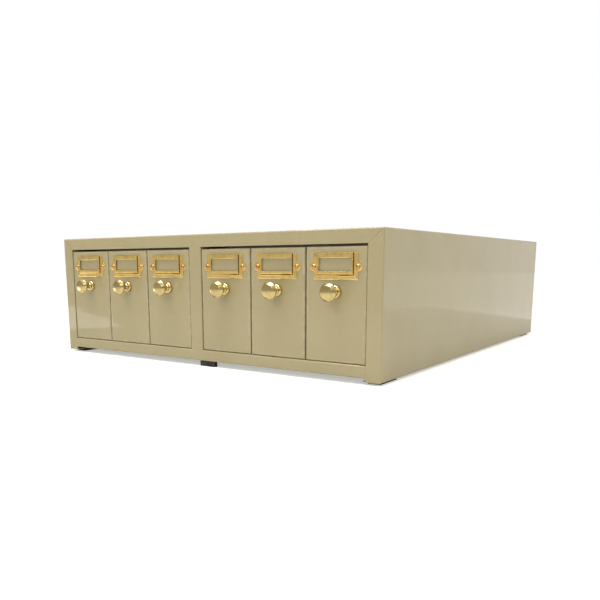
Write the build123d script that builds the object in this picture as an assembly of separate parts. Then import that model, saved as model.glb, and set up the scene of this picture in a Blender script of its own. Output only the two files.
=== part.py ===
from build123d import *
import os
from math import asin, cos, sin

# Six-drawer steel card catalog cabinet, in millimetres.
# X runs across the front, Y from the front (-Y) to the back, Z up from the surface it stands on.
# The pieces are drawn with the front frame's face on Y = 0 and moved once, in save(), so that
# the origin ends up at the bottom centre of the whole object.

# ---------------------------------------------------------------- driving dimensions
# Cabinet case
case_width = 609.6
case_depth = 724.0
case_height = 190.5
case_sheet = 1.2
case_edge_radius = 2.0
stile_width = 21.2
top_rail_height = 18.5
frame_lip_depth = 12.0
bottom_flange_width = 26.0
rear_flange_width = 15.0
mitre_groove_width = 0.9
mitre_groove_depth = 0.45
seam = 0.15

# Bottom rail, centre stile and base
rail_lift = 4.66
rail_height = 16.34
rail_foot_depth = 20.0
bend_radius = 1.5
rail_top_radius = 3.0
centre_stile_width = 22.6
pan_upturn = 12.0
back_sheet = 1.0

# Feet
foot_height = 3.5
corner_foot_width = 18.5
corner_foot_length = 48.0
corner_foot_side_inset = 6.0
corner_foot_end_inset = 12.0
centre_foot_width = 28.5
centre_foot_length = 7.0
centre_foot_offset = 18.75
centre_foot_end_inset = 1.5
foot_edge_radius = 1.0

# Drawers
drawers_per_bank = 3
bank_sides = (-1, 1)
drawer_gap = 2.2
drawer_recess = 1.0
front_bottom_gap = 0.6
front_top_gap = 3.0
front_sheet = 1.0
front_depth = 12.0
front_edge_radius = 1.8
tray_sheet = 1.0
tray_seat_gap = 0.1
tray_shoulder_drop = 18.9
tray_shoulder_end = 60.0
tray_tail_length = 125.0
tray_tail_slope = 30.0
tray_tail_rise = 49.0
tray_tail_drop = 2.0
tray_rear_gap = 20.0

# Guides that the trays slide on, and the bars that stop them
slide_gap = 0.3
guide_fin = 2.0
guide_fin_height = 30.0
guide_bearing = 18.0
stop_bar_start = 16.0
stop_bar_depth = 18.5
stop_bar_clear = 12.0
stop_gap = 0.5

# Follower that holds the cards up, and its slot in the tray's floor
slot_width = 4.0
slot_front = 30.0
slot_rear_margin = 60.0
follower_gap = 0.3
follower_sheet = 1.5
follower_side_gap = 4.2
follower_height = 100.0
follower_lean = 10.0
follower_foot_inset = 8.0
follower_foot_length = 55.0
follower_stem_length = 30.0
follower_shoe_width = 16.0
follower_shoe_thickness = 1.2
follower_corner_radius = 6.0
follower_brace_rise = 55.0
follower_brace_lean = 11.0

# Label holder, its two pins, the knob and its screw
label_width = 64.5
label_height = 33.7
label_drop = 8.0
label_sheet = 0.7
label_raise = 1.6
label_flange = 5.6
label_foot = 5.0
label_side_ramp = 1.4
label_foot_ramp = 2.0
label_window_width = 48.8
label_window_height = 16.8
label_top_bar = 6.2
label_corner_radius = 0.8
window_corner_radius = 1.6
pin_spacing = 64.1
pin_rise = 16.5
pin_radius = 1.0
pin_head_radius = 3.0
pin_head_height = 2.0
ear_radius = 5.75
knob_drop = 57.0
knob_base_radius = 8.9
knob_neck_radius = 4.4
knob_head_radius = 12.0
knob_face_radius = 8.8
knob_projection = 24.8
knob_base_edge = 1.2
knob_base_height = 5.2
knob_shoulder_radius = 8.28
knob_shoulder_height = 3.4
knob_dome_radius = 6.41
knob_step_radius = 5.52
knob_cove_radius = 4.66
knob_cove_height = 6.74
knob_neck_start = 7.44
knob_neck_end = 11.41
knob_flare_radius = 7.4
knob_flare_drop = 4.6
knob_rim_drop = 5.6
knob_rim_roll = 0.5
knob_rim_under = 1.4
knob_rim_over = 1.2
knob_bevel_drop = 1.2
screw_radius = 2.0
screw_head_radius = 4.0
screw_head_height = 2.2
screw_clearance = 0.05
knob_thread_length = 11.0

# Screws that hold the back panel
back_screw_length = 8.0
back_screw_low = 30.0
side_screw_count = 3
top_screw_count = 4
screw_slot_width = 1.0
screw_slot_depth = 1.0

# ---------------------------------------------------------------- worked-out places
bottom = foot_height
top = bottom + case_height
half_width = case_width / 2
inner_half_width = half_width - case_sheet
opening_half = half_width - stile_width
lintel = top - top_rail_height
rail_bottom = bottom + rail_lift
rail_top = rail_bottom + rail_height
half_centre_stile = centre_stile_width / 2
pan_bottom = rail_bottom + case_sheet
pan_top = pan_bottom + case_sheet
back_inside = case_depth - case_sheet - back_sheet

pitch = (opening_half - half_centre_stile) / drawers_per_bank
front_width = pitch - drawer_gap
front_bottom = rail_top + front_bottom_gap
front_top = lintel - front_top_gap
front_face = drawer_recess
front_back = front_face + front_depth
tray_front = front_face + front_sheet
tray_half = front_width / 2 - front_sheet - tray_seat_gap
tray_bottom = front_bottom + front_sheet + tray_seat_gap
tray_floor = tray_bottom + tray_sheet
tray_front_top = front_top - front_sheet - tray_seat_gap
tray_tail_top = front_top - tray_tail_drop
tray_end = back_inside - tray_rear_gap
tail_front = tray_end - tray_tail_length
tray_side_top = tray_tail_top - tray_tail_rise
tray_shoulder = tray_front_top - tray_shoulder_drop

guide_top = tray_bottom - slide_gap
guide_front = front_back + slide_gap
frame_channel_depth = guide_front - seam
guide_reach = pitch / 2 - tray_half + guide_bearing
guide_depth = (guide_front, back_inside - tray_seat_gap)
stop_bar_back = stop_bar_start + stop_bar_depth
stop_bar_bottom = lintel - stop_bar_clear
drawer_travel = tail_front - stop_bar_back - stop_gap

slot_rear = tray_end - slot_rear_margin
stem_rear = slot_rear - stop_gap
stem_front = stem_rear - follower_stem_length
follower_travel = stem_front - slot_front - stop_gap

label_top = front_top - label_drop
label_bottom = label_top - label_height
pin_height = label_bottom + pin_rise
knob_height = front_top - knob_drop

front_most = front_face - knob_projection
back_most = case_depth + screw_head_height
middle = (front_most + back_most) / 2


# ---------------------------------------------------------------- small helpers
def block(x, y, z):
    """A block between a low and a high limit on each axis."""
    size = (x[1] - x[0], y[1] - y[0], z[1] - z[0])
    return Pos(x[0], y[0], z[0]) * Box(*size, align=(Align.MIN, Align.MIN, Align.MIN))


def rod(x, z, y, radius):
    """A round bar along Y, between two places on Y."""
    upright = Cylinder(radius, y[1] - y[0], align=(Align.CENTER, Align.CENTER, Align.MIN))
    return Pos(x, y[0], z) * Rot(-90, 0, 0) * upright


def side_plate(outline, x):
    """A flat plate drawn as (y, z) points and given its thickness along X."""
    face = make_face(Polyline(*[(0, y, z) for y, z in outline], close=True))
    return Pos(x[0], 0, 0) * extrude(face, amount=x[1] - x[0], dir=(1, 0, 0))


def crown(radius, low, high):
    """The arc of a round crown about the Y axis: level at its top, of the given radius at its edge."""
    rise = high - low
    ball = (radius**2 + rise**2) / (2 * rise)
    half_turn = asin(radius / ball) / 2
    middle_point = (ball * sin(half_turn), high - ball + ball * cos(half_turn))
    return ThreePointArc((radius, low), middle_point, (0, high))


def lines_at(steps):
    """Places across the front, left to right: so many pitches out from each side of the centre stile."""
    return sorted(sign * (half_centre_stile + pitch * step) for sign in bank_sides for step in steps)


def edges_at(shape, axis, **places):
    """The straight edges along an axis that lie at the given x, y or z."""
    found = shape.edges().filter_by(axis)
    for name, place in places.items():
        found = found.filter_by(lambda edge: abs(getattr(edge.center(), name.upper()) - place) < 0.01)
    return found


def save(node, *solids):
    """Write one node, moved so that the whole object's bottom centre is the origin."""
    moved = [Pos(0, -middle, 0) * solid for solid in solids]
    export_step(moved[0] if len(moved) == 1 else Compound(children=moved), f"parts/{node}.step")


# ---------------------------------------------------------------- the case
def screw_places():
    """Where the back panel's screws stand on the rear flange, as (x, z)."""
    side = half_width - rear_flange_width / 2
    level = top - rear_flange_width / 2
    low = bottom + back_screw_low
    rise = (level - low) / side_screw_count
    sides = [(sign * side, low + rise * i) for sign in bank_sides for i in range(side_screw_count)]
    step = 2 * side / (top_screw_count - 1)
    return sides + [(-side + step * i, level) for i in range(top_screw_count)]


def mitre_groove(sign):
    """A V-groove from the corner of the opening to the corner of the case, run past both."""
    inner = Vector(sign * opening_half, 0, lintel)
    outer = Vector(sign * half_width, 0, top)
    along = (outer - inner).normalized()
    start = inner - along * mitre_groove_width
    length = (outer - start).length + mitre_groove_width
    across = along.cross(Vector(0, 1, 0)) * (mitre_groove_width / 2)
    corners = [start + across, start - across, start + Vector(0, mitre_groove_depth, 0)]
    return extrude(make_face(Polyline(*corners, close=True)), amount=length, dir=along)


def case_shell():
    """Top and two sides folded from one sheet, with front and rear flanges all round the open ends."""
    shell = block((-half_width, half_width), (0, case_depth), (bottom, top))
    kept_sharp = edges_at(shell, Axis.X, z=bottom)
    shell = fillet([e for e in shell.edges() if e not in kept_sharp], case_edge_radius)
    inside = (-inner_half_width, inner_half_width)
    shell -= block(inside, (case_sheet, case_depth - case_sheet), (bottom + case_sheet, top - case_sheet))
    well = half_width - bottom_flange_width
    shell -= block((-well, well), (case_sheet, case_depth - case_sheet), (bottom - 1, bottom + case_sheet))
    shell -= block((-opening_half, opening_half), (-1, case_sheet), (bottom - 1, lintel))
    rear = half_width - rear_flange_width
    rear_flange = (case_depth - case_sheet, case_depth + 1)
    shell -= block((-rear, rear), rear_flange, (bottom - 1, top - rear_flange_width))
    lip_end = opening_half + case_sheet
    shell += block((-lip_end, lip_end), (0, frame_lip_depth), (lintel, lintel + case_sheet))
    for sign in bank_sides:
        x = sorted((sign * opening_half, sign * lip_end))
        shell += block(x, (0, frame_lip_depth), (rail_top, lintel + case_sheet))
        shell -= mitre_groove(sign)
    for x, z in screw_places():
        shell -= rod(x, z, (case_depth - 2 * case_sheet, case_depth + 1), screw_radius + screw_clearance)
    return shell


def back_panel():
    """Flat sheet behind the rear flange."""
    edge = inner_half_width - tray_seat_gap
    height = (rail_bottom, top - case_sheet - seam)
    panel = block((-edge, edge), (back_inside, back_inside + back_sheet), height)
    for x, z in screw_places():
        panel -= rod(x, z, (back_inside - 1, case_depth), screw_radius + screw_clearance)
    return panel


def pan_head_screw(x, z, seat, length):
    """A slotted pan-head screw whose head sits on a face at the given Y and points to +Y."""
    head = rod(x, z, (seat, seat + screw_head_height), screw_head_radius)
    head = fillet(head.edges().sort_by(Axis.Y)[-1:], screw_head_height / 2)
    screw = head + rod(x, z, (seat - length, seat), screw_radius)
    slot_half = screw_slot_width / 2
    slot_y = (seat + screw_head_height - screw_slot_depth, seat + screw_head_height + 1)
    reach = screw_head_radius + 1
    return screw - block((x - reach, x + reach), slot_y, (z - slot_half, z + slot_half))


def base_pan():
    """Floor of the case, with an upturned flange against each side."""
    edge = inner_half_width - tray_seat_gap
    depth = (case_sheet + tray_seat_gap, back_inside - tray_seat_gap)
    pan = block((-edge, edge), depth, (pan_bottom, pan_top))
    for sign in bank_sides:
        x = sorted((sign * edge, sign * (edge - case_sheet)))
        pan += block(x, depth, (pan_bottom, pan_bottom + pan_upturn))
    return pan


def bottom_rail():
    """Channel between the stiles, under the drawers, softly rounded along its top but square under the stile."""
    end = opening_half - seam
    rail = block((-end, end), (0, rail_foot_depth), (rail_bottom, rail_top))
    rail -= block((-end, end), (case_sheet, rail_foot_depth), (pan_bottom, rail_top - case_sheet))
    rail -= block((-end, end), (frame_channel_depth, rail_foot_depth), (pan_bottom, rail_top))
    rail = fillet(edges_at(rail, Axis.X, y=0, z=rail_bottom), bend_radius)
    rail = fillet(edges_at(rail, Axis.X, y=0, z=rail_top), rail_top_radius)
    seat = (-half_centre_stile, half_centre_stile)
    rail += block(seat, (0, case_sheet), (rail_top - rail_top_radius, rail_top))
    return rail + block(seat, (0, rail_top_radius), (rail_top - case_sheet, rail_top))


def centre_stile():
    """Upright channel between the two banks of drawers."""
    stile = block((-half_centre_stile, half_centre_stile), (0, frame_channel_depth), (rail_top, lintel))
    hollow = half_centre_stile - case_sheet
    stile -= block((-hollow, hollow), (case_sheet, frame_channel_depth), (rail_top, lintel))
    return fillet(edges_at(stile, Axis.Z, y=0), bend_radius)


def centre_partition():
    """Upright sheet behind the centre stile, flanged onto the centre guide and the top."""
    half = case_sheet / 2
    depth = (guide_front, back_inside - tray_seat_gap)
    ceiling = top - case_sheet
    flange = (-half, half_centre_stile - seam)
    sheet = block((-half, half), depth, (guide_top, ceiling))
    sheet += block(flange, depth, (guide_top, guide_top + case_sheet))
    sheet += block(flange, (stop_bar_back + stop_gap, depth[1]), (ceiling - case_sheet, ceiling))
    return sheet


def runner(x, legs):
    """A folded channel on the base that the trays slide on: a level plate and its legs."""
    channel = block(x, guide_depth, (guide_top - case_sheet, guide_top))
    for leg in legs:
        channel += block(leg, guide_depth, (pan_top, guide_top))
    return channel


def fin(x):
    """A strip standing on a runner, welded to it, that keeps the trays in line."""
    return block(x, guide_depth, (guide_top, guide_top + guide_fin_height))


def half_fin(sign, line, toward):
    """A fin half as thick, standing beside the edge of a stile's line."""
    return fin(sorted((sign * line, sign * (line + toward * guide_fin / 2))))


def divider_guide(x):
    """Runner between two drawers of a bank, and its fin."""
    low, high = x - guide_reach, x + guide_reach
    legs = [(low, low + case_sheet), (high - case_sheet, high)]
    return runner((low, high), legs), fin((x - guide_fin / 2, x + guide_fin / 2))


def side_guide(sign):
    """Runner between a side of the case and the drawer beside it, and its fin."""
    inner, outer = opening_half - guide_reach, inner_half_width - tray_seat_gap
    outer_leg = outer - 2 * case_sheet - seam
    legs = [sorted((sign * leg, sign * (leg + case_sheet))) for leg in (inner, outer_leg)]
    return runner(sorted((sign * inner, sign * outer)), legs), half_fin(sign, opening_half, -1)


def centre_guide():
    """Runner under the partition, for the drawer on each side of it, and its two fins."""
    reach = half_centre_stile + guide_reach
    legs = [sorted((sign * reach, sign * (reach - case_sheet))) for sign in bank_sides]
    return runner((-reach, reach), legs), *[half_fin(sign, half_centre_stile, 1) for sign in bank_sides]


def stop_bar(sign):
    """Angle under the top, behind the top rail: a pulled drawer's tail comes up against it."""
    x = sorted((sign * (case_sheet / 2 + seam), sign * (inner_half_width - tray_seat_gap)))
    ceiling = top - case_sheet
    bar = block(x, (stop_bar_start, stop_bar_back), (ceiling - case_sheet, ceiling))
    return bar + block(x, (stop_bar_back - case_sheet, stop_bar_back), (stop_bar_bottom, ceiling))


def corner_foot(side, y):
    """Rubber pad under a side's bottom flange."""
    x = sorted((side * (half_width - corner_foot_side_inset),
                side * (half_width - corner_foot_side_inset - corner_foot_width)))
    pad = block(x, y, (0, bottom))
    return fillet(pad.edges().filter_by(Axis.Z), foot_edge_radius)


def centre_foot():
    """Rubber block under the bottom rail's foot, a little right of the centre stile."""
    x = (centre_foot_offset - centre_foot_width / 2, centre_foot_offset + centre_foot_width / 2)
    block_y = (centre_foot_end_inset, centre_foot_end_inset + centre_foot_length)
    pad = block(x, block_y, (0, rail_bottom))
    return fillet(pad.edges().filter_by(Axis.Z), foot_edge_radius)


# ---------------------------------------------------------------- a drawer
def drawer_front(x):
    """Box-formed front: a face with a return on all four sides."""
    half = front_width / 2
    panel = block((x - half, x + half), (front_face, front_back), (front_bottom, front_top))
    face_edges = [e for e in panel.edges() if abs(e.center().Y - front_face) < 0.01]
    panel = fillet(face_edges, front_edge_radius)
    inner = half - front_sheet
    depth = (front_face + front_sheet, front_back)
    panel -= block((x - inner, x + inner), depth, (front_bottom + front_sheet, front_top - front_sheet))
    return drill_front(panel, x)


def drill_front(sheet, x):
    """The holes for the knob's screw and the label holder's pins, through any sheet of the front."""
    sheet -= rod(x, knob_height, (front_face - 1, front_back), screw_radius + screw_clearance)
    for side in bank_sides:
        sheet -= rod(x + side * pin_spacing / 2, pin_height, (front_face - 1, front_back), pin_radius)
    return sheet


def tray(x):
    """Open-topped tray of five welded sheets: two shaped sides, a slotted floor, and walls front and back."""
    low, high = x - tray_half, x + tray_half
    inner = (low + tray_sheet, high - tray_sheet)
    outline = [
        (tray_front, tray_bottom),
        (tray_end, tray_bottom),
        (tray_end, tray_tail_top),
        (tail_front, tray_tail_top),
        (tail_front, tray_side_top + tray_tail_slope),
        (tail_front - tray_tail_slope, tray_side_top),
        (tray_shoulder_end, tray_side_top),
        (front_back, tray_shoulder),
        (tray_front, tray_shoulder),
    ]
    sides = [side_plate(outline, (low, inner[0])), side_plate(outline, (inner[1], high))]
    floor = block(inner, (tray_front, tray_end), (tray_bottom, tray_floor))
    slot = (x - slot_width / 2, x + slot_width / 2)
    floor -= block(slot, (slot_front, slot_rear), (tray_bottom - 1, tray_floor + 1))
    back_wall = block(inner, (tray_end - tray_sheet, tray_end), (tray_floor, tray_tail_top))
    front_wall = block(inner, (tray_front, tray_front + tray_sheet), (tray_floor, tray_front_top))
    return *sides, floor, back_wall, drill_front(front_wall, x)


def follower(x):
    """Leaning plate that holds the cards up, on a foot whose stem and shoe run in the floor's slot."""
    foot_bottom = tray_floor + follower_gap
    foot_top = foot_bottom + follower_sheet
    plate_half = tray_half - tray_sheet - follower_side_gap
    foot_half = plate_half - follower_foot_inset
    foot_y = (stem_front, stem_front + follower_foot_length)
    stem_half = slot_width / 2 - follower_gap
    shoe_top = tray_bottom - follower_gap
    stem_y = (stem_front, stem_rear)
    body = block((x - foot_half, x + foot_half), foot_y, (foot_bottom, foot_top))
    body += block((x - stem_half, x + stem_half), stem_y, (shoe_top, foot_bottom))
    shoe_half = follower_shoe_width / 2
    body += block((x - shoe_half, x + shoe_half), stem_y, (shoe_top - follower_shoe_thickness, shoe_top))
    plate = block((-plate_half, plate_half), (0, follower_sheet), (0, follower_height))
    plate = fillet(edges_at(plate, Axis.Y, z=follower_height), follower_corner_radius)
    body += Pos(x, stem_front, foot_bottom) * Rot(-follower_lean, 0, 0) * plate
    brace_bottom = foot_top - follower_sheet / 2
    brace = [
        (stem_front + follower_sheet, brace_bottom),
        (foot_y[1], brace_bottom),
        (stem_front + follower_sheet + follower_brace_lean, foot_top + follower_brace_rise),
    ]
    for side in bank_sides:
        edge = x + side * foot_half
        body += side_plate(brace, sorted((edge, edge - side * follower_sheet)))
    return body


def label_outline(x):
    """The flange of the label holder: a plate with a round ear at each side."""
    width = (x - label_width / 2, x + label_width / 2)
    plate = block(width, (front_face - label_sheet, front_face), (label_bottom, label_top))
    plate = fillet(plate.edges().filter_by(Axis.Y), label_corner_radius)
    for side in bank_sides:
        depth = (front_face - label_sheet, front_face)
        plate += rod(x + side * pin_spacing / 2, pin_height, depth, ear_radius)
    return plate


def label_bezel(x, face):
    """The raised middle of the holder as a solid, with ramps at its sides and foot and none at its top."""
    half = label_width / 2 - label_flange
    foot = label_bottom + label_foot
    above = label_top + 1
    root = Plane(origin=(x, face, 0), x_dir=(1, 0, 0), z_dir=(0, -1, 0))
    sections = []
    for rise, inset, drop in ((0, 0, 0), (label_raise, label_side_ramp, label_foot_ramp)):
        plane = root.offset(rise)
        left, right = -half + inset, half - inset
        corners = [(left, foot + drop), (right, foot + drop), (right, above), (left, above)]
        points = [plane.from_local_coords((u, v, 0)) for u, v in corners]
        sections.append(make_face(Polyline(*points, close=True)))
    return loft(sections)


def label_holder(x):
    """Stamped card holder: a flange on three sides, a raised bezel open at the top, and its window."""
    holder = label_outline(x) + label_bezel(x, front_face)
    holder -= label_bezel(x, front_face + label_sheet)
    half = label_window_width / 2
    sill = label_top - label_top_bar - label_window_height
    depth = (front_face - label_raise - 1, front_face + 1)
    window = block((x - half, x + half), depth, (sill, sill + label_window_height))
    holder -= fillet(window.edges().filter_by(Axis.Y), window_corner_radius)
    reach = label_width
    holder -= block((x - reach, x + reach), depth, (label_top, label_top + 2))
    for side in bank_sides:
        holder -= rod(x + side * pin_spacing / 2, pin_height, depth, pin_radius)
    return holder


def label_pin(x):
    """Round-head pin through the ear, the front and the tray's front wall."""
    seat = front_face - label_sheet
    outline = [
        Line((0, 0), (pin_head_radius, 0)),
        crown(pin_head_radius, 0, pin_head_height),
        Line((0, pin_head_height), (0, 0)),
    ]
    dome = revolve(make_face(Curve() + outline), Axis.Y, 360)
    head = Pos(x, seat, pin_height) * Rot(180, 0, 0) * dome
    return head + rod(x, pin_height, (seat, tray_front + tray_sheet), pin_radius)


def knob_outline():
    """Half of the knob's section, as (distance from its axis, height above the drawer's face)."""
    face = (knob_face_radius, knob_projection - knob_bevel_drop)
    rim = knob_projection - knob_rim_drop
    under_rim = (knob_head_radius - knob_rim_roll, rim - knob_rim_under)
    over_rim = (knob_head_radius - knob_rim_roll, rim + knob_rim_over)
    step = (knob_step_radius, knob_base_height)
    waist = (knob_neck_radius, knob_neck_start)
    throat = (knob_neck_radius, knob_neck_end)
    foot = (knob_base_radius, knob_base_edge)
    shoulder = (knob_shoulder_radius, knob_shoulder_height)
    return [
        Line((0, 0), (knob_base_radius, 0)),
        Line((knob_base_radius, 0), foot),
        ThreePointArc(foot, shoulder, (knob_dome_radius, knob_base_height)),
        Line((knob_dome_radius, knob_base_height), step),
        ThreePointArc(step, (knob_cove_radius, knob_cove_height), waist),
        Line(waist, throat),
        ThreePointArc(throat, (knob_flare_radius, rim - knob_flare_drop), under_rim),
        ThreePointArc(under_rim, (knob_head_radius, rim), over_rim),
        Line(over_rim, face),
        crown(knob_face_radius, face[1], knob_projection),
        Line((0, knob_projection), (0, 0)),
    ]


def knob(x):
    """Turned knob: a domed foot, a neck, and a bevelled head with a low crown, bored for its screw."""
    turned = revolve(make_face(Curve() + knob_outline()), Axis.Y, 360)
    body = Pos(x, front_face, knob_height) * Rot(180, 0, 0) * turned
    bore = (front_face - knob_thread_length, front_face + 1)
    return body - rod(x, knob_height, bore, screw_radius + screw_clearance)


def knob_screw(x):
    """Pan-head screw from inside the tray into the knob."""
    seat = tray_front + tray_sheet
    return pan_head_screw(x, knob_height, seat, seat - front_face + knob_thread_length - 1)


# ---------------------------------------------------------------- the whole cabinet
os.makedirs("parts", exist_ok=True)

save("cabinet_shell", case_shell())
save("back_panel", back_panel())
save("back_panel_screws", *[pan_head_screw(x, z, case_depth, back_screw_length) for x, z in screw_places()])
save("base_pan", base_pan())
save("bottom_rail", bottom_rail())
save("centre_stile", centre_stile())
save("centre_partition", centre_partition())
save("centre_guide", *centre_guide())
for side_name, side_sign in zip(("left", "right"), bank_sides):
    save(f"{side_name}_side_guide", *side_guide(side_sign))
    save(f"{side_name}_stop_bar", stop_bar(side_sign))

for number, place in enumerate(lines_at(range(1, drawers_per_bank)), 1):
    save(f"divider_guide_{number}", *divider_guide(place))

front_foot_y = (corner_foot_end_inset, corner_foot_end_inset + corner_foot_length)
rear_foot_y = (case_depth - front_foot_y[1], case_depth - front_foot_y[0])
save("corner_feet", *[corner_foot(sign, y) for sign in bank_sides for y in (front_foot_y, rear_foot_y)])
save("centre_foot", centre_foot())

for number, place in enumerate(lines_at([step + 0.5 for step in range(drawers_per_bank)]), 1):
    save(f"drawer_{number}_front", drawer_front(place))
    save(f"drawer_{number}_tray", *tray(place))
    save(f"drawer_{number}_follower", follower(place))
    save(f"drawer_{number}_label_holder", label_holder(place))
    save(f"drawer_{number}_label_pins", *[label_pin(place + side * pin_spacing / 2) for side in bank_sides])
    save(f"drawer_{number}_knob", knob(place))
    save(f"drawer_{number}_knob_screw", knob_screw(place))

print(f"drawer travel {drawer_travel:.2f} mm, follower travel {follower_travel:.2f} mm")
print(f"the origin is {middle:.2f} mm behind the front frame")
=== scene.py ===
import math

import bmesh
import bpy
import numpy as np
from bpy.props import FloatProperty, FloatVectorProperty, PointerProperty
from mathutils import Matrix, Vector


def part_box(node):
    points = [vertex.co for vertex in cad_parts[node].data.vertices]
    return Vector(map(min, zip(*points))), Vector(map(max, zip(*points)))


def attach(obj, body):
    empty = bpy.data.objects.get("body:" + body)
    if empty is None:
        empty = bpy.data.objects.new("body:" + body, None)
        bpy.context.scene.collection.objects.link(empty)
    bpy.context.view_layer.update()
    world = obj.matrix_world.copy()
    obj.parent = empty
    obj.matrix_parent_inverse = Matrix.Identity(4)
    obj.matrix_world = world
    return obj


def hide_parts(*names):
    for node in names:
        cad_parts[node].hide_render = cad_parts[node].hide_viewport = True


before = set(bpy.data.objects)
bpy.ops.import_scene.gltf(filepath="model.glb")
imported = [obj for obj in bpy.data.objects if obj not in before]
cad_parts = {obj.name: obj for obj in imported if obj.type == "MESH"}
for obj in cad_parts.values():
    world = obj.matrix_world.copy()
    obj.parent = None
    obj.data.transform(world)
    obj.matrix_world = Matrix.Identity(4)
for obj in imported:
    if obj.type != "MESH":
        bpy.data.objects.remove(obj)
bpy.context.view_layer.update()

bl_info = {
    "name": "Card Catalog Cabinet",
    "version": (1, 0, 0),
    "blender": (4, 5, 0),
    "location": "3D View > Sidebar > Card Catalog",
    "description": "Finishes a six-drawer steel card catalog cabinet and stands it on a plain studio floor",
    "category": "Object",
}

MM = 0.001
DRAWERS = range(1, 7)
WELD = 0.003 * MM  # points nearer than this are one point
SLIVER = 0.001 * MM  # edges shorter than this are dissolved


# ---------------------------------------------------------------- sizes and colours
def linear(code):
    """A colour written as sRGB hex, as the linear colour that shaders work in."""
    shown = [int(code[i:i + 2], 16) / 255 for i in (1, 3, 5)]
    return [c / 12.92 if c <= 0.04045 else ((c + 0.055) / 1.055) ** 2.4 for c in shown] + [1.0]


def length(name, description, default):
    """A size that is given in millimetres and kept in metres."""
    return FloatProperty(name=name, description=description, default=default * MM, min=0.0, unit="LENGTH")


def colour(name, description, code):
    """A colour that is given as sRGB hex and kept linear."""
    return FloatVectorProperty(name=name, description=description, default=linear(code), size=4,
                               subtype="COLOR")


class CatalogFrontSizes(bpy.types.PropertyGroup):
    """The box-formed drawer front"""
    bend: length("Bend", "Outer radius of the fold round the face", 1.8)
    sheet: length("Sheet", "Thickness of the steel", 1.0)
    wave: length("Wave", "How far the rolled sheet dips between its folds", 0.16)


class CatalogLabelSizes(bpy.types.PropertyGroup):
    """The stamped card holder"""
    sheet: length("Sheet", "Thickness of the brass", 0.7)
    rise: length("Rise", "How far the bezel stands above the flange", 1.6)
    body_width: length("Body Width", "Width of the holder without its ears", 64.5)
    flange: length("Flange", "Width of the flat flange at each side", 5.6)
    foot: length("Foot", "Width of the flat flange under the bezel", 5.0)
    side_ramp: length("Side Ramp", "Width of the slope at each side of the bezel", 1.4)
    foot_ramp: length("Foot Ramp", "Width of the slope under the bezel", 2.0)
    window_width: length("Window Width", "Width of the window", 48.8)
    window_height: length("Window Height", "Height of the window", 16.8)
    top_bar: length("Top Bar", "Height of the bar over the window", 6.2)
    window_corner: length("Window Corner", "Radius of the window's corners", 1.6)
    bezel_corner: length("Bezel Corner", "Radius of the bezel's lower corners", 1.2)
    outer_corner: length("Outer Corner", "Radius of the holder's corners", 0.8)
    ear: length("Ear", "Radius of the round ear that each pin goes through", 5.75)


class CatalogPinSizes(bpy.types.PropertyGroup):
    """The round-head pins"""
    head: length("Head", "Radius of the head", 3.0)
    crown: length("Crown", "Height of the head", 2.0)
    lip: length("Lip", "Height of the straight edge under the crown", 0.3)
    shank: length("Shank", "Radius of the shank", 1.0)


class CatalogKnobSizes(bpy.types.PropertyGroup):
    """The turned knob, by the radius and height of each step of its section"""
    foot: length("Foot", "Radius of the foot", 8.9)
    foot_edge: length("Foot Edge", "Height of the foot's straight edge", 1.2)
    dome: length("Dome", "Radius where the foot's dome ends", 6.41)
    dome_top: length("Dome Top", "Height of the foot's dome", 5.2)
    step: length("Step", "Radius of the small step over the dome", 5.52)
    neck: length("Neck", "Radius of the neck", 4.4)
    neck_start: length("Neck Start", "Height where the neck begins", 7.44)
    neck_end: length("Neck End", "Height where the neck ends", 11.4)
    head: length("Head", "Radius of the head", 12.0)
    rim: length("Rim", "Height of the head's widest line", 19.2)
    face: length("Face", "Radius of the crowned face inside the bevel", 8.8)
    bevel: length("Bevel", "Height where the bevel meets the face", 23.6)
    bore: length("Bore", "Radius of the hole for the screw", 2.05)
    bore_depth: length("Bore Depth", "Depth of the hole for the screw", 11.0)


class CatalogColours(bpy.types.PropertyGroup):
    """The finishes"""
    enamel: colour("Enamel", "Putty-tan enamel of the case and fronts", "#AEA27D")
    # painted highlight: the lighter enamel laid along the drawer fronts' folds
    enamel_fold_highlight: colour("Thin Enamel", "Enamel where it is rubbed thin over the folds", "#BDB291")
    enamel_grime: colour("Enamel Grime", "Old handling marks in the enamel", "#8A7D5A")
    tray: colour("Tray", "Enamel of the trays", "#A59A78")
    stamped_brass: colour("Stamped Brass", "Lacquered brass of the card holders", "#FFDD8A")
    # also the painted shade half-way down the card holders' slopes
    brass_tarnish_and_shade: colour("Brass Tarnish", "Darkened brass in the corners", "#5A3410")
    red_brass: colour("Red Brass", "Copper-rich brass of the pins", "#DE9A5C")
    turned_brass: colour("Turned Brass", "Pale brass of the knobs", "#D2BC84")
    zinc: colour("Zinc", "Zinc plate of the runners", "#A8A59C")
    zinc_bloom: colour("Zinc Bloom", "White bloom on old zinc", "#C6C4BC")
    screw: colour("Screw", "Bright zinc plate of the screws", "#C4C6C4")
    rubber: colour("Rubber", "Black rubber of the feet", "#242321")
    rubber_dust: colour("Rubber Dust", "Dust on the rubber", "#5B5852")
    floor: colour("Floor", "Pale studio floor", "#E2E2DF")


# ---------------------------------------------------------------- shapes
def grid_faces(rows, columns, closed=False):
    """Corner numbers of the squares of a grid of points; a closed grid joins its last column to its
    first."""
    row, column = np.mgrid[0:rows - 1, 0:columns if closed else columns - 1]
    after = (column + 1) % columns
    here, above = row * columns, (row + 1) * columns
    corners = (here + column, here + after, above + after, above + column)
    return np.stack(corners, axis=-1).reshape(-1, 4)


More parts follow.
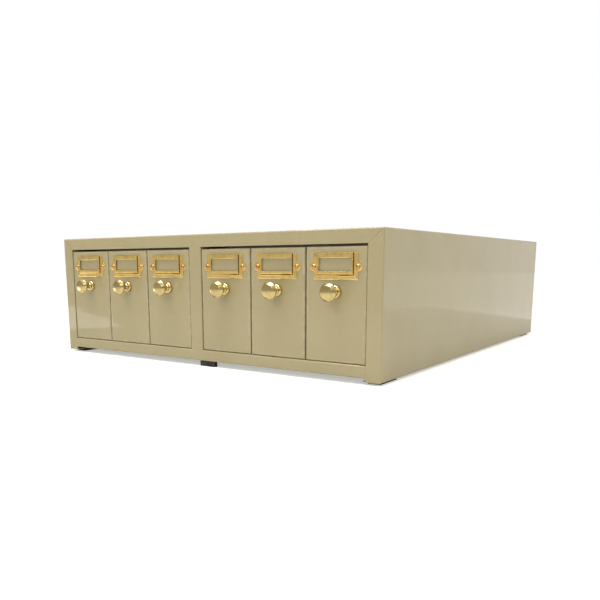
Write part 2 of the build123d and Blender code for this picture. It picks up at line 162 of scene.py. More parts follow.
def piece(name, points, faces, body, material, replaced, sharp=35.0, closed=True, attribute=None):
    """One object from points and faces. Points that meet at a pole or a seam are made one. Edges sharper
    than the given degrees stay sharp, and a closed piece has its normals turned outward."""
    mesh = bpy.data.meshes.new(name)
    mesh.from_pydata(points.reshape(-1, 3).tolist(), [], faces.tolist())
    if attribute is not None:
        label, values = attribute
        layer = mesh.attributes.new(label, "FLOAT", "POINT")
        layer.data.foreach_set("value", values.ravel().astype(np.float32))
    work = bmesh.new()
    work.from_mesh(mesh)
    bmesh.ops.remove_doubles(work, verts=work.verts, dist=WELD)
    bmesh.ops.dissolve_degenerate(work, edges=work.edges, dist=SLIVER)
    if closed:
        bmesh.ops.recalc_face_normals(work, faces=work.faces)
    work.to_mesh(mesh)
    work.free()
    mesh.shade_smooth()
    mesh.set_sharp_from_angle(angle=math.radians(sharp))
    mesh.materials.append(material)
    made = bpy.data.objects.new(name, mesh)
    bpy.context.scene.collection.objects.link(made)
    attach(made, body)
    if replaced:
        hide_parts(replaced)
    return made


def arc(start, end, bulge, count=12):
    """Points along a round arc from start to end. It stands off its chord by bulge, to the left of the
    way it goes, or to the right where bulge is negative."""
    start, end = np.array(start, float), np.array(end, float)
    chord = end - start
    half = np.hypot(*chord) / 2
    radius = (half**2 + bulge**2) / (2 * abs(bulge))
    left = np.array([-chord[1], chord[0]]) / (2 * half) * np.sign(bulge)
    centre = (start + end) / 2 + left * (abs(bulge) - radius)
    turn = math.asin(min(1.0, half / radius))
    angles = np.linspace(-turn, turn, count)[:, None]
    return centre + radius * (left * np.cos(angles) + chord / (2 * half) * np.sin(angles))


def rounded(corners, reach, steps=4):
    """A run of corners with each inner one turned into a short parabola. It leaves its two sides at a
    distance of reach, or a little under half of the side where that is shorter."""
    most = 0.45
    corners = np.array(corners, float)
    before, at, after = corners[:-2], corners[1:-1], corners[2:]
    to_before, to_after = before - at, after - at
    long_before = np.linalg.norm(to_before, axis=1, keepdims=True)
    long_after = np.linalg.norm(to_after, axis=1, keepdims=True)
    start = at + to_before / long_before * np.minimum(reach, most * long_before)
    end = at + to_after / long_after * np.minimum(reach, most * long_after)
    t = np.linspace(0, 1, steps)[None, :, None]
    curves = (1 - t) ** 2 * start[:, None] + 2 * t * (1 - t) * at[:, None] + t**2 * end[:, None]
    return np.concatenate([corners[:1], curves.reshape(-1, 2), corners[-1:]])


def turned(outline, centre, segments=96):
    """A section carried round an axis along -Y: each (radius, height) of the outline becomes a ring about
    centre. Gives the points, the faces and how far along the outline each point lies."""
    angle = np.linspace(0, 2 * math.pi, segments, endpoint=False)[None, :]
    radius, height = outline[:, :1], outline[:, 1:]
    across, up = radius * np.sin(angle), radius * np.cos(angle)
    points = np.stack([centre[0] + across, centre[1] - height + 0 * angle, centre[2] + up], axis=-1)
    along = np.concatenate([[0], np.cumsum(np.hypot(*np.diff(outline, axis=0).T))])
    faces = grid_faces(len(outline), segments, closed=True)
    return points, faces, np.repeat(along[:, None], segments, axis=1)


def ray_to_rectangle(way, half, low, high, low_corner, high_corner):
    """How far a ray from the origin goes to a rectangle with rounded corners. Each ray meets the nearer
    of a side and a level edge; where that lies in a corner's square, it goes to the corner's circle
    instead."""
    least = 1e-9  # keeps a ray along an axis from dividing by nothing
    side = half / np.maximum(np.abs(way[:, 0]), least)
    level = np.where(way[:, 1] > 0, high, -low) / np.maximum(np.abs(way[:, 1]), least)
    reach = np.minimum(side, level)
    radius = np.where(way[:, 1] > 0, high_corner, low_corner)
    across = np.sign(way[:, 0]) * (half - radius)
    centre = np.stack([across, np.where(way[:, 1] > 0, high - radius, low + radius)], axis=1)
    hit = way * reach[:, None]
    in_corner = (np.abs(hit[:, 0]) > half - radius) & (np.abs(hit[:, 1]) > np.abs(centre[:, 1]))
    along = (way * centre).sum(axis=1)
    inside = along**2 - (centre**2).sum(axis=1) + radius**2
    return np.where(in_corner & (radius > 0), along + np.sqrt(np.maximum(inside, 0)), reach)


def ray_to_disc(way, centre, radius):
    """How far a ray from the origin goes to the far side of a disc, or nothing where it misses."""
    along = (way * centre).sum(axis=1)
    inside = along**2 - centre @ centre + radius**2
    return np.where((inside > 0) & (along > 0), along + np.sqrt(np.maximum(inside, 0)), 0.0)


# ---------------------------------------------------------------- finishes
def add(tree, kind, inputs=None, **settings):
    """Adds one node, with its settings and with its inputs either linked or given a value."""
    new = tree.nodes.new("ShaderNode" + kind)
    for name, value in settings.items():
        setattr(new, name, value)
    for name, value in (inputs or {}).items():
        if isinstance(value, bpy.types.NodeSocket):
            tree.links.new(value, new.inputs[name])
        else:
            new.inputs[name].default_value = value
    return new


def noise(tree, place, scale, detail, roughness=0.5, distortion=0.0):
    """Noise whose waves are about 1 / scale metres long, as a socket."""
    inputs = {"Vector": place, "Scale": scale, "Detail": detail, "Roughness": roughness,
              "Distortion": distortion}
    return add(tree, "TexNoise", inputs).outputs["Fac"]


def remap(tree, value, low, high, from_low=0.0, from_high=1.0):
    """A value carried from one range to another, and held within it, as a socket."""
    inputs = {"Value": value, "From Min": from_low, "From Max": from_high, "To Min": low, "To Max": high}
    return add(tree, "MapRange", inputs).outputs["Result"]


def blend(tree, share, first, second):
    """The first colour turning into the second as share goes from 0 to 1, as a socket. The node's inputs
    6 and 7 and its output 2 are its colours."""
    return add(tree, "Mix", {0: share, 6: first, 7: second}, data_type="RGBA").outputs[2]


def bumped(tree, height, strength, distance, under=None):
    """The normal of a surface that rises with height, over the normal under it if there is one."""
    inputs = {"Height": height, "Strength": strength, "Distance": distance}
    if under is not None:
        inputs["Normal"] = under
    return add(tree, "Bump", inputs).outputs["Normal"]


def new_material(name):
    """A material with an empty tree and its output."""
    material = bpy.data.materials.new(name)
    material.use_nodes = True
    material.node_tree.nodes.clear()
    return material, material.node_tree, add(material.node_tree, "OutputMaterial")


def surface(tree, output, inputs):
    """Leads a finish's one shader, with its inputs, to the material's output."""
    shader = add(tree, "BsdfPrincipled", inputs)
    tree.links.new(shader.outputs["BSDF"], output.inputs["Surface"])


def stoved_enamel(name, base, fold_highlight, grime, roughness=0.045, edge_source=None):
    """Stoving enamel, sprayed on folded steel sheet: glossy and even, with a faint orange peel, cloudy old
    handling marks, and a painted highlight: narrow lighter lines along the folds, broken into short lengths."""
    material, tree, output = new_material(name)
    place = add(tree, "TexCoord").outputs["Object"]
    # clouds of old handling, about 90 mm across
    cloud = remap(tree, noise(tree, place, 11.0, 4.0, 0.6), 0.0, 0.16, 0.45, 0.75)
    # mottle of the sprayed coat, about 6 mm, far weaker than the clouds
    fleck = remap(tree, noise(tree, place, 160.0, 2.0), 0.975, 1.025)
    clouded = blend(tree, cloud, base, grime)
    shown = add(tree, "VectorMath", {0: clouded, "Scale": fleck}, operation="SCALE").outputs[0]
    if edge_source:
        # the painted highlight along the folds breaks off every 10 mm or so
        highlight_breaks = remap(tree, noise(tree, place, 95.0, 5.0, 0.7), 0.0, 1.0, 0.42, 0.62)
        edge = add(tree, "Attribute", attribute_name=edge_source).outputs["Fac"]
        highlight_share = add(tree, "Math", {0: edge, 1: highlight_breaks}, operation="MULTIPLY").outputs[0]
        shown = blend(tree, highlight_share, shown, fold_highlight)
    # dull smears a hand leaves, about 40 mm
    smears = noise(tree, place, 26.0, 6.0, 0.65, 0.6)
    gloss = remap(tree, smears, roughness - 0.01, roughness + 0.05, 0.35, 0.7)
    # orange peel, waves of about 3 mm and a few thousandths high, over sheet ripple of about 60 mm
    peel = bumped(tree, noise(tree, place, 330.0, 1.0), 0.2, 0.01 * MM)
    normal = bumped(tree, noise(tree, place, 16.0, 1.0), 0.3, 0.3 * MM, peel)
    surface(tree, output, {"Base Color": shown, "Roughness": gloss, "IOR": 1.5, "Normal": normal})
    return material


def zinc_sheet(name, zinc, bloom, roughness=0.42, streak=(40.0, 3.0, 40.0)):
    """Zinc-plated steel, rolled and electroplated: dull grey metal with faint rolling streaks along its
    length and white cloudy bloom."""
    material, tree, output = new_material(name)
    place = add(tree, "TexCoord").outputs["Object"]
    stretched = add(tree, "Mapping", {"Vector": place, "Scale": streak}).outputs["Vector"]
    lines = noise(tree, stretched, 12.0, 5.0, 0.7)
    # bloom in clouds of about 30 mm
    bloomed = remap(tree, noise(tree, place, 34.0, 5.0, 0.65), 0.0, 0.7, 0.4, 0.7)
    surface(tree, output, {"Base Color": blend(tree, bloomed, zinc, bloom), "Metallic": 1.0,
                           "Roughness": remap(tree, lines, roughness - 0.1, roughness + 0.12),
                           "Normal": bumped(tree, lines, 0.25, 0.05 * MM)})
    return material


def polished_brass(name, base, tarnish_and_shade, roughness, age, ring_lines=False):
    """Brass, buffed bright and lacquered: warm mirror-like metal with hairline buffing marks and brown
    tarnished clouds, and on the card holders a painted shade in the same brown half-way down the bezel's
    slopes, as the slope_shade attribute says. A turned piece has the fine rings that the tool left instead of
    the buffing marks."""
    material, tree, output = new_material(name)
    place = add(tree, "TexCoord").outputs["Object"]
    # tarnish in clouds of about 12 mm
    aged = remap(tree, noise(tree, place, 85.0, 5.0, 0.62), 0.0, age, 0.46, 0.74)
    # painted shade: the slope_shade attribute darkens the card holders' slopes towards the brown; the knobs
    # and pins have none
    slope_shade = add(tree, "Attribute", attribute_name="slope_shade").outputs["Fac"]
    dark = add(tree, "Math", {0: aged, 1: slope_shade}, operation="MAXIMUM").outputs[0]
    if ring_lines:
        # rings at about 0.5 mm, coarser than a real tool's so that they show
        along = add(tree, "Attribute", attribute_name="along").outputs["Fac"]
        turns = add(tree, "Math", {0: along, 1: 2000.0}, operation="MULTIPLY").outputs[0]
        rings = add(tree, "TexNoise", {"W": turns, "Scale": 1.0, "Detail": 2.0}, noise_dimensions="1D")
        marks = rings.outputs["Fac"]
    else:
        # buffing hairlines, about 0.7 mm apart with finer ones between, drawn out sideways
        buffed = add(tree, "Mapping", {"Vector": place, "Scale": (60.0, 60.0, 1500.0)}).outputs["Vector"]
        marks = noise(tree, buffed, 1.0, 3.0, 0.7)
    surface(tree, output, {"Base Color": blend(tree, dark, base, tarnish_and_shade), "Metallic": 1.0,
                           "Roughness": remap(tree, marks, roughness - 0.04, roughness + 0.08, 0.3, 0.7),
                           "Normal": bumped(tree, marks, 0.12, 0.03 * MM)})
    return material


def moulded_rubber(name, rubber, dust):
    """Black rubber, moulded: almost no shine, a fine sandy skin of about 1 mm, and pale dust."""
    material, tree, output = new_material(name)
    place = add(tree, "TexCoord").outputs["Object"]
    # dust in clouds of about 7 mm
    dusted = remap(tree, noise(tree, place, 140.0, 5.0), 0.0, 0.55, 0.48, 0.75)
    skin = noise(tree, place, 1000.0, 2.0)
    surface(tree, output, {"Base Color": blend(tree, dusted, rubber, dust), "IOR": 1.52,
                           "Roughness": remap(tree, skin, 0.6, 0.9),
                           "Normal": bumped(tree, skin, 0.4, 0.1 * MM)})
    return material


def finish_nodes(material, *names):
    """Gives a finish to nodes whose own shape is kept."""
    for name in names:
        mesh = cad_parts[name].data
        mesh.materials.clear()
        mesh.materials.append(material)


# ---------------------------------------------------------------- operators
class CATALOG_OT_case(bpy.types.Operator):
    """Enamel the folded case, its rails and its back"""
    bl_idname = "catalog.case"
    bl_label = "Case"

    def execute(self, context):
        hues = context.scene.catalog_colours
        enamel = stoved_enamel("stoved_enamel_case", hues.enamel, hues.enamel_fold_highlight, hues.enamel_grime)
        finish_nodes(enamel, "cabinet_shell", "bottom_rail", "centre_stile", "back_panel", "base_pan",
                     "centre_partition")
        return {"FINISHED"}


class CATALOG_OT_runners(bpy.types.Operator):
    """Plate the runners, stop bars and screws with zinc"""
    bl_idname = "catalog.runners"
    bl_label = "Runners and Screws"

    def execute(self, context):
        hues = context.scene.catalog_colours
        zinc = zinc_sheet("rolled_zinc_plate", hues.zinc, hues.zinc_bloom)
        guides = [f"divider_guide_{n}" for n in range(1, 5)]
        sides = [f"{side}_{part}" for side in ("left", "right") for part in ("side_guide", "stop_bar")]
        finish_nodes(zinc, "centre_guide", *guides, *sides)
        screws = zinc_sheet("bright_zinc_screws", hues.screw, hues.zinc_bloom, 0.26, (30.0, 30.0, 30.0))
        finish_nodes(screws, "back_panel_screws", *[f"drawer_{n}_knob_screw" for n in DRAWERS])
        return {"FINISHED"}


class CATALOG_OT_feet(bpy.types.Operator):
    """Give the feet their rubber"""
    bl_idname = "catalog.feet"
    bl_label = "Feet"

    def execute(self, context):
        hues = context.scene.catalog_colours
        rubber = moulded_rubber("moulded_black_rubber", hues.rubber, hues.rubber_dust)
        finish_nodes(rubber, "corner_feet", "centre_foot")
        return {"FINISHED"}


class CATALOG_OT_trays(bpy.types.Operator):
    """Enamel the trays and plate the followers"""
    bl_idname = "catalog.trays"
    bl_label = "Trays and Followers"

    def execute(self, context):
        hues = context.scene.catalog_colours
        enamel = stoved_enamel("stoved_enamel_tray", hues.tray, hues.enamel_fold_highlight, hues.enamel_grime, 0.3)
        finish_nodes(enamel, *[f"drawer_{n}_tray" for n in DRAWERS])
        plate = zinc_sheet("zinc_plate_follower", hues.zinc, hues.zinc_bloom, 0.36, (6.0, 40.0, 3.0))
        finish_nodes(plate, *[f"drawer_{n}_follower" for n in DRAWERS])
        return {"FINISHED"}


class CATALOG_OT_fronts(bpy.types.Operator):
    """Build the box-formed drawer fronts"""
    bl_idname = "catalog.fronts"
    bl_label = "Drawer Fronts"

    def execute(self, context):
        size, hues = context.scene.catalog_front, context.scene.catalog_colours
        enamel = stoved_enamel("stoved_enamel_front", hues.enamel, hues.enamel_fold_highlight, hues.enamel_grime,
                               edge_source="fold")
        for n in DRAWERS:
            low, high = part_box(f"drawer_{n}_front")
            points, faces, fold = front_sheet(low, high, size.bend, size.wave, n)
            made = piece(f"front_panel_{n}", points, faces, f"drawer_{n}", enamel,
                         f"drawer_{n}_front", closed=False, attribute=("fold", fold))
            wall = made.modifiers.new("sheet", "SOLIDIFY")
            wall.thickness = size.sheet
            wall.use_even_offset = True
        return {"FINISHED"}


def front_sheet(low, high, bend, wave, number):
    """The outer skin of a drawer front. The face is a grid of x and z; its depth is the larger of two
    quarter-round folds, one from the distance to the nearer side and one from the distance to the nearer
    level edge, plus a shallow dip: a product of two half sine waves with a slow ripple on it. The returns
    carry the border straight back. Also gives how close each point is to the fold."""
    fold_steps, columns_inside, rows_inside = 7, 36, 56
    waves_across, waves_up, turn_by_drawer = 0.7, 1.1, 1.9
    steady, rippled = 0.35, 0.65  # shares of the dip
    highlight_reach = 1.6  # how many bends from the border the painted highlight ends
    ease = np.sin(np.linspace(0, math.pi / 2, fold_steps))
    near = bend * (1 - ease[::-1])[:-1]

    def lines(a, b, count):
        """Where the grid's lines stand from a to b: crowded on the two folds, even between them."""
        inner = np.linspace(a + bend, b - bend, count)
        return np.concatenate([a + near, inner, (b - near)[::-1]])

    x, z = np.meshgrid(lines(low.x, high.x, columns_inside), lines(low.z, high.z, rows_inside))
    across = np.minimum(x - low.x, high.x - x)
    up = np.minimum(z - low.z, high.z - z)
    inset = np.maximum(bend - np.stack([across, up]), 0)
    fold = (bend - np.sqrt(np.maximum(bend**2 - inset**2, 0))).max(axis=0)
    u, v = (x - low.x) / (high.x - low.x), (z - low.z) / (high.z - low.z)
    bowl = np.sin(math.pi * u) * np.sin(math.pi * v)
    ripple = 0.5 + 0.5 * np.cos(2 * math.pi * (waves_across * u + waves_up * v) + turn_by_drawer * number)
    depth = fold + wave * bowl * (steady + rippled * ripple)
    face = np.stack([x, low.y + depth, z], axis=-1)
    rows, columns = x.shape
    index = np.arange(rows * columns).reshape(rows, columns)
    rim = np.concatenate([index[0, :-1], index[:-1, -1], index[-1, :0:-1], index[:0:-1, 0]])
    back = face.reshape(-1, 3)[rim].copy()
    back[:, 1] = high.y
    behind = rows * columns + np.arange(len(rim))
    strip = np.stack([behind, np.roll(behind, -1), np.roll(rim, -1), rim], axis=-1)
    points = np.concatenate([face.reshape(-1, 3), back])
    faces = np.concatenate([grid_faces(rows, columns), strip])
    # how near the fold, as the share of painted highlight on the enamel
    near_fold = np.clip(highlight_reach - np.minimum(across, up) / bend, 0, 1).ravel()
    return points, faces, np.concatenate([near_fold, np.zeros(len(rim))])


class CATALOG_OT_label_holders(bpy.types.Operator):
    """Stamp the brass card holders"""
    bl_idname = "catalog.label_holders"
    bl_label = "Card Holders"

    def execute(self, context):
        size, hues = context.scene.catalog_label, context.scene.catalog_colours
        brass = polished_brass("buffed_brass_sheet", hues.stamped_brass, hues.brass_tarnish_and_shade, 0.12, 0.3)
        rounding = 0.22  # share of the sheet's thickness that the stamp rounds off its edges
        for n in DRAWERS:
            low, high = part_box(f"drawer_{n}_label_holder")
            pins_low, pins_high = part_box(f"drawer_{n}_label_pins")
            # the last is the share of painted shade on the bezel's slopes
            points, faces, slope_shade = stamped_holder(low, high, (pins_low.z + pins_high.z) / 2, size)
            made = piece(f"card_holder_{n}", points, faces, f"drawer_{n}", brass,
                         f"drawer_{n}_label_holder", sharp=50.0, closed=False, attribute=("slope_shade", slope_shade))
            wall = made.modifiers.new("sheet", "SOLIDIFY")
            wall.thickness = size.sheet
            edge = made.modifiers.new("edge", "BEVEL")
            edge.width = size.sheet * rounding
            edge.segments = 2
            edge.limit_method = "ANGLE"
            edge.angle_limit = math.radians(60)
        return {"FINISHED"}


def stamped_holder(low, high, pin_line, size):
    """The outer skin of a card holder. Rays leave the window's centre, and each carries the same run of
    stops: the window's edge, the bezel's top, its slope, the flange and the outer edge, which bulges
    where a ray meets an ear's disc. The height over the flange at a point is the rise times a mix of the
    way up the nearer slope and its smooth step. Also gives how deep in the slope each point lies: 0 at
    its foot and top, 1 half-way."""
    rays_per_radian = 30
    straight, smooth = 0.55, 0.45
    slope_stops = (1.25, 1.0, 0.8, 0.5, 0.2, 0.0, -0.25)
    top_stops, flange_stops = (0.0, 0.12, 0.5), (0.35, 0.8, 1.0)
    centre = np.array([(low.x + high.x) / 2, high.z - size.top_bar - size.window_height / 2])
    top, bottom = high.z - centre[1], low.z - centre[1]
    half_body = size.body_width / 2
    half_foot = half_body - size.flange
    half_top = half_foot - size.side_ramp
    foot = bottom + size.foot
    half_window = (size.window_width / 2, size.window_height / 2)
    ear = np.array([(high.x - low.x) / 2 - size.ear, pin_line - centre[1]])
    spread = math.sqrt(ear @ ear)
    ear_side = math.asin(min(1.0, size.ear / spread))
    ear_way = math.atan2(ear[1], ear[0])
    met = [(half_top, top), (half_foot, top), (half_body, top), (half_body, top - size.outer_corner),
           (half_window[0], half_window[1]), (half_foot, foot), (half_body, bottom),
           (half_top, foot + size.foot_ramp), (half_window[0], -half_window[1])]
    right = sorted([math.atan2(z, x) for x, z in met] + [ear_way + ear_side, ear_way - ear_side])
    stops = [-math.pi / 2] + right + [math.pi / 2] + sorted(math.pi - a for a in right)
    gaps = zip(stops, stops[1:] + [stops[0] + 2 * math.pi])
    angle = np.concatenate([np.linspace(a, b, max(2, round((b - a) * rays_per_radian)), endpoint=False)
                            for a, b in gaps])
    way = np.stack([np.cos(angle), np.sin(angle)], axis=1)
    outer = ray_to_rectangle(way, half_body, bottom, top, size.outer_corner, size.outer_corner)
    for side in (-1, 1):
        outer = np.maximum(outer, ray_to_disc(way, ear * (side, 1), size.ear))
    window = ray_to_rectangle(way, half_window[0], -half_window[1], half_window[1], size.window_corner,
                              size.window_corner)

    def bezel(step):
        """The bezel's outline, this share of the way from the foot of its slope to the top."""
        half = half_foot - size.side_ramp * step
        reach = ray_to_rectangle(way, half, foot + size.foot_ramp * step, top, size.bezel_corner, 0.0)
        return np.minimum(reach, outer)

    slope = [bezel(step) for step in slope_stops]
    inner = [window + (slope[0] - window) * share for share in top_stops]
    outside = [slope[-1] + (outer - slope[-1]) * share for share in flange_stops]
    reach = np.stack(inner + slope + outside)
    x, z = reach * way[:, 0], reach * way[:, 1]
    climb = np.minimum((half_foot - np.abs(x)) / size.side_ramp, (z - foot) / size.foot_ramp)
    eased = np.clip(climb, 0, 1)
    height = size.rise * (straight * eased + smooth * eased**2 * (3 - 2 * eased))
    face = high.y - size.sheet - height
    points = np.stack([centre[0] + x, face, centre[1] + z], axis=-1)
    faces = grid_faces(len(reach), len(angle), closed=True)
    # the last, 1 half-way down a slope, is the share of painted shade on the brass
    return points, faces[:, ::-1], np.sqrt(4 * eased * (1 - eased))


class CATALOG_OT_pins(bpy.types.Operator):
    """Turn the round-head pins"""
    bl_idname = "catalog.pins"
    bl_label = "Card Holder Pins"

    def execute(self, context):
        size, hues = context.scene.catalog_pin, context.scene.catalog_colours
        brass = polished_brass("polished_red_brass", hues.red_brass, hues.brass_tarnish_and_shade, 0.12, 0.4,
                               ring_lines=True)
        fullness, easing, segments = 0.2, 0.12 * MM, 48
        for n in DRAWERS:
            low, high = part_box(f"drawer_{n}_label_pins")
            seat = low.y + size.crown
            tail = seat - high.y
            dome = arc((size.head, size.lip), (0, size.crown), -fullness * size.head)
            shank = [(0, tail), (size.shank, tail), (size.shank, 0), (size.head, 0)]
            outline = rounded([*shank, *dome], easing)
            line = (low.z + high.z) / 2
            sides = (low.x + size.head, high.x - size.head)
            parts = [turned(outline, (x, seat, line), segments) for x in sides]
            points = np.concatenate([p.reshape(-1, 3) for p, _, _ in parts])
            faces = np.concatenate([parts[0][1], parts[1][1] + parts[0][0].size // 3])
            along = np.concatenate([a.ravel() for _, _, a in parts])
            piece(f"holder_pins_{n}", points, faces, f"drawer_{n}", brass,
                  f"drawer_{n}_label_pins", attribute=("along", along))
        return {"FINISHED"}


class CATALOG_OT_knobs(bpy.types.Operator):
    """Turn the brass knobs"""
    bl_idname = "catalog.knobs"
    bl_label = "Knobs"

    def execute(self, context):
        size, hues = context.scene.catalog_knob, context.scene.catalog_colours
        brass = polished_brass("turned_brass_rod", hues.turned_brass, hues.brass_tarnish_and_shade, 0.1, 0.3,
                               ring_lines=True)
        for n in DRAWERS:
            low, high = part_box(f"drawer_{n}_knob")
            outline = knob_section(size, high.y - low.y)
            centre = ((low.x + high.x) / 2, high.y, (low.z + high.z) / 2)
            points, faces, along = turned(outline, centre)
            piece(f"brass_knob_{n}", points, faces, f"drawer_{n}", brass, f"drawer_{n}_knob",
                  sharp=40.0, attribute=("along", along))
        return {"FINISHED"}


def knob_section(size, tall):
    """Half of the knob's section, from the end of its bore round the outside to the middle of its face:
    straight steps joined by round arcs, each corner eased by a short parabola."""
    easing, easing_points = 0.22 * MM, 3
    # where the rim's own arc starts and ends, just inside the head's radius
    under = (size.head - 0.5 * MM, size.rim - 1.4 * MM)
    over = (size.head - 0.6 * MM, size.rim + 1.2 * MM)
    # each arc gives its start, its end, how far it stands off its chord, and its number of points
    runs = [
        [(0, size.bore_depth), (size.bore, size.bore_depth), (size.bore, 0), (size.foot, 0)],
        arc((size.foot, size.foot_edge), (size.dome, size.dome_top), -0.8 * MM, 10),
        arc((size.step, size.dome_top), (size.neck, size.neck_start), 0.25 * MM, 8),
        arc((size.neck, size.neck_end), under, 1.5 * MM, 14),
        arc(under, over, -0.55 * MM, 9)[1:],
        arc((size.face, size.bevel), (0, tall), -0.3 * MM, 16),
    ]
    return rounded(np.concatenate(runs), easing, easing_points)


class CATALOG_OT_stage(bpy.types.Operator):
    """Set the floor, the soft light and the camera"""
    bl_idname = "catalog.stage"
    bl_label = "Stage"

    def execute(self, context):
        scene = context.scene
        scene.view_settings.view_transform = "Standard"
        lay_floor(scene.catalog_colours.floor)
        hang_lights()
        light_room(scene)
        stand_camera(scene)
        return {"FINISHED"}


def lay_floor(pale):
    """A wide pale floor, level with the soles of the feet: rings of points about the object, out to reach
    metres. It glows a little for the camera alone, so that it meets the background without a line."""
    reach, rings, spokes = 9.0, 10, 64
    radius = np.linspace(0, reach, rings)[:, None]
    angle = np.linspace(0, 2 * math.pi, spokes, endpoint=False)[None, :]
    points = np.stack([radius * np.cos(angle), radius * np.sin(angle), np.zeros((rings, spokes))], axis=-1)
    faces = grid_faces(rings, spokes, closed=True)[:, ::-1]
    mesh = bpy.data.meshes.new("studio_floor")
    mesh.from_pydata(points.reshape(-1, 3).tolist(), [], faces.tolist())
    work = bmesh.new()
    work.from_mesh(mesh)
    # the first ring has no radius and becomes the hub
    bmesh.ops.remove_doubles(work, verts=work.verts, dist=WELD)
    work.to_mesh(mesh)
    work.free()
    material, tree, output = new_material("matt_studio_floor")
    place = add(tree, "TexCoord").outputs["Object"]
    seen = add(tree, "LightPath").outputs["Is Camera Ray"]
    rough = remap(tree, noise(tree, place, 3.0, 3.0), 0.85, 0.95)
    surface(tree, output, {"Base Color": pale, "Roughness": rough,
                           "Emission Color": pale, "Emission Strength": remap(tree, seen, 0.0, 0.6)})
    mesh.materials.append(material)
    floor = bpy.data.objects.new("studio_floor", mesh)
    bpy.context.scene.collection.objects.link(floor)


def hang_lights():
    """Soft rectangular lights: (name, where its middle is, where it points, width, height, watts). The
    last three are there to show in the gloss, of the right side and of the front's lower left corner."""
    lights = [
        ("softbox_over", (0.0, -0.58, 1.2), (0.0, -0.58, 0.0), 1.0, 0.3, 11.0),
        ("softbox_front", (1.0, -2.1, 1.3), (0.1, -0.35, 0.1), 1.4, 1.0, 5.0),
        ("softbox_side", (2.0, -0.2, 1.2), (0.3, 0.0, 0.1), 1.4, 1.0, 2.0),
        ("softbox_behind", (0.606, 0.908, 0.5), (0.95, 0.48, 0.5), 0.55, 1.0, 0.85),
        ("softbox_right", (0.945, 0.865, 0.5), (0.5, 0.607, 0.5), 0.5, 1.0, 0.75),
        ("softbox_low", (-0.98, -0.55, 0.01), (-0.985, -0.541, 1.0), 0.83, 0.62, 2.4),
    ]
    for name, place, target, width, height, watts in lights:
        light = bpy.data.lights.new(name, "AREA")
        light.shape = "RECTANGLE"
        light.size, light.size_y, light.energy = width, height, watts
        lamp = bpy.data.objects.new(name, light)
        lamp.location = place
        lamp.rotation_euler = (Vector(target) - Vector(place)).to_track_quat("-Z", "Y").to_euler()
        lamp.visible_camera = False
        bpy.context.scene.collection.objects.link(lamp)


def light_room(scene):
    """An even white background for the camera, and for the rest a warm room that is brighter overhead."""
    world = bpy.data.worlds.new("studio_room")
    scene.world = world
    world.use_nodes = True
    tree = world.node_tree
    tree.nodes.clear()
    way = add(tree, "SeparateXYZ", {"Vector": add(tree, "TexCoord").outputs["Generated"]})
    level = add(tree, "MapRange", {"Value": way.outputs["Z"], "From Min": 0.3, "From Max": 0.9,
                                   "To Min": 0.6, "To Max": 1.3}, interpolation_type="SMOOTHSTEP")
    warm, white = (0.82, 0.795, 0.745, 1.0), (1.0, 1.0, 1.0, 1.0)
    room = add(tree, "Background", {"Color": warm, "Strength": level.outputs["Result"]})
    backdrop = add(tree, "Background", {"Color": white, "Strength": 1.0})
    seen = add(tree, "LightPath").outputs["Is Camera Ray"]
    both = add(tree, "MixShader", {0: seen, 1: room.outputs[0], 2: backdrop.outputs[0]})
    tree.links.new(both.outputs[0], add(tree, "OutputWorld").inputs["Surface"])


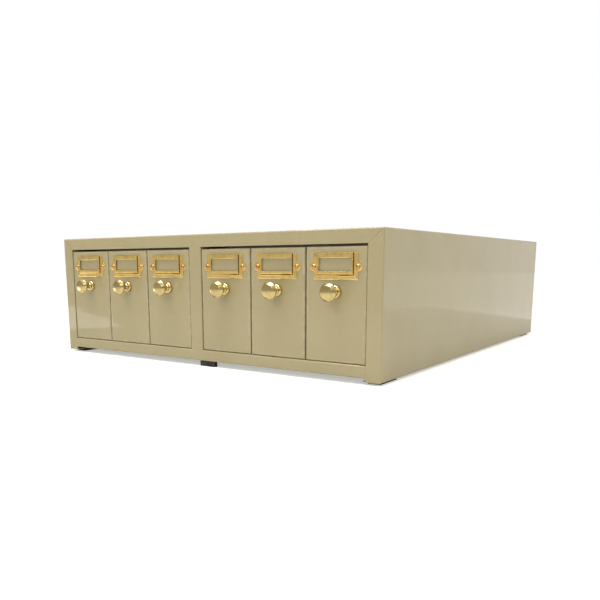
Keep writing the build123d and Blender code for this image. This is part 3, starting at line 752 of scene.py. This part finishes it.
def stand_camera(scene):
    """A camera off the right front corner, level with the card holders, turned left and a little down."""
    place = (0.6472, -1.0557, 0.1513)
    yaw, pitch, roll = math.radians(35.34), math.radians(9.91), math.radians(-0.22)
    ahead = Vector((-math.sin(yaw) * math.cos(pitch), math.cos(yaw) * math.cos(pitch), -math.sin(pitch)))
    level = Vector((math.cos(yaw), math.sin(yaw), 0))
    lift = level.cross(ahead)
    right = math.cos(roll) * level + math.sin(roll) * lift
    up = -math.sin(roll) * level + math.cos(roll) * lift
    lens = bpy.data.cameras.new("studio_camera")
    lens.lens = 38.13
    lens.sensor_width = 36.0
    lens.shift_x, lens.shift_y = 0.0382, 0.1243
    camera = bpy.data.objects.new("studio_camera", lens)
    camera.matrix_world = Matrix.Translation(place) @ Matrix((right, up, -ahead)).transposed().to_4x4()
    scene.collection.objects.link(camera)
    scene.camera = camera


# ---------------------------------------------------------------- the add-on
OPERATORS = (CATALOG_OT_case, CATALOG_OT_runners, CATALOG_OT_feet, CATALOG_OT_trays, CATALOG_OT_fronts,
             CATALOG_OT_label_holders, CATALOG_OT_pins, CATALOG_OT_knobs, CATALOG_OT_stage)
GROUPS = {"catalog_front": CatalogFrontSizes, "catalog_label": CatalogLabelSizes,
          "catalog_pin": CatalogPinSizes, "catalog_knob": CatalogKnobSizes, "catalog_colours": CatalogColours}


class CATALOG_PT_panel(bpy.types.Panel):
    """The cabinet's steps, its sizes and its colours"""
    bl_label = "Card Catalog Cabinet"
    bl_idname = "CATALOG_PT_panel"
    bl_space_type = "VIEW_3D"
    bl_region_type = "UI"
    bl_category = "Card Catalog"

    def draw(self, context):
        for operator in OPERATORS:
            self.layout.operator(operator.bl_idname)
        for name in GROUPS:
            group = getattr(context.scene, name)
            box = self.layout.box()
            for key in group.bl_rna.properties.keys():
                if key not in {"rna_type", "name"}:
                    box.prop(group, key)


def register():
    """Adds the sizes, the colours, the steps and the panel."""
    for group in GROUPS.values():
        bpy.utils.register_class(group)
    for name, group in GROUPS.items():
        setattr(bpy.types.Scene, name, PointerProperty(type=group))
    for operator in OPERATORS:
        bpy.utils.register_class(operator)
    bpy.utils.register_class(CATALOG_PT_panel)


def unregister():
    """Takes away what register added, last first."""
    bpy.utils.unregister_class(CATALOG_PT_panel)
    for operator in reversed(OPERATORS):
        bpy.utils.unregister_class(operator)
    for name in GROUPS:
        delattr(bpy.types.Scene, name)
    for group in reversed(GROUPS.values()):
        bpy.utils.unregister_class(group)


def main():
    """Makes each part of the cabinet in turn."""
    register()
    bpy.ops.catalog.case()
    bpy.ops.catalog.runners()
    bpy.ops.catalog.feet()
    bpy.ops.catalog.trays()
    bpy.ops.catalog.fronts()
    bpy.ops.catalog.label_holders()
    bpy.ops.catalog.pins()
    bpy.ops.catalog.knobs()
    bpy.ops.catalog.stage()


if __name__ == "__main__":
    main()
